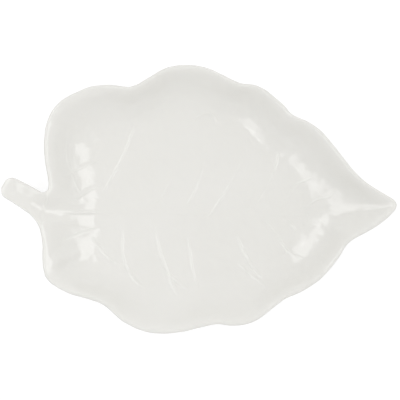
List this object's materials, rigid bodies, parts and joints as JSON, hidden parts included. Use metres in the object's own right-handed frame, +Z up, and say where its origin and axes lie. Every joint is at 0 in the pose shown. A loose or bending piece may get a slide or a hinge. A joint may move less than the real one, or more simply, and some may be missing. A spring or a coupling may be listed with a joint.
{
  "type": "leaf shaped plate",
  "caption": "White glazed porcelain serving plate in the shape of a leaf, with a scalloped upturned rim, a stem handle, raised veins on a flat floor and an unglazed foot ring.",
  "frame": {"origin": "on the table, under the middle of the plate's outline", "axes": "+X towards the leaf's tip, -X towards the stem, +Y to the left of the leaf as seen from its stem, +Z up"},
  "size_m": [0.2796, 0.1898, 0.026],
  "materials": {
    "glaze": "gloss",
    "bisque": "matte"
  },
  "bodies": {
    "root": {"leaf_dish": "glaze", "stem_handle": "glaze", "foot_ring": "bisque", "midrib": "glaze", "side_veins_left": "glaze", "side_veins_right": "glaze"}
  },
  "joints": []
}
